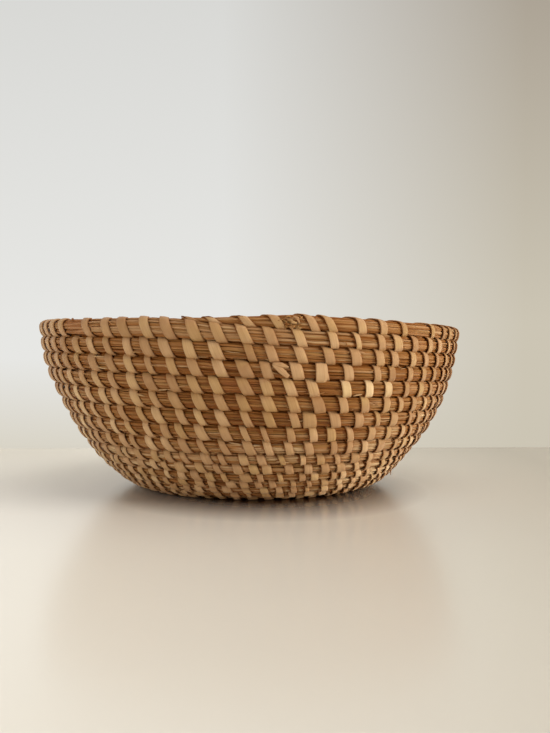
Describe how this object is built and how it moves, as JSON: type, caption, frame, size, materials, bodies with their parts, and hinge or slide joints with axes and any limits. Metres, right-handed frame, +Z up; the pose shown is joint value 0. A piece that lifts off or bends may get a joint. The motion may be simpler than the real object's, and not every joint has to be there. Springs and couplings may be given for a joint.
{
  "type": "coiled basket",
  "caption": "Round open bowl coiled from one spiral bundle of grass and sewn row to row with flat binder strips; the bundle ends in a taper on the rim.",
  "frame": {"origin": "centre of the bounding box, on the surface that the bowl stands on", "axes": "+Z up, -Y towards the front, where the bundle's tapered end lies on the rim"},
  "size_m": [0.2178, 0.2182, 0.0859],
  "materials": {
    "grass": "dried grass stems, satin",
    "binder": "smooth flat leaf strip, slightly glossy"
  },
  "bodies": {
    "root": {"grass_coil": "grass", "binder_strip_01": "binder", "binder_strip_02": "binder", "binder_strip_03": "binder", "binder_strip_04": "binder", "binder_strip_05": "binder", "binder_strip_06": "binder", "binder_strip_07": "binder", "binder_strip_08": "binder", "binder_strip_09": "binder", "binder_strip_10": "binder", "binder_strip_11": "binder", "binder_strip_12": "binder", "binder_strip_13": "binder", "binder_strip_14": "binder", "binder_strip_15": "binder", "binder_strip_16": "binder", "binder_strip_17": "binder", "binder_strip_18": "binder", "binder_strip_19": "binder", "binder_strip_20": "binder", "binder_strip_21": "binder", "binder_strip_22": "binder", "binder_strip_23": "binder", "binder_strip_24": "binder", "end_lashing": "binder"}
  },
  "joints": []
}
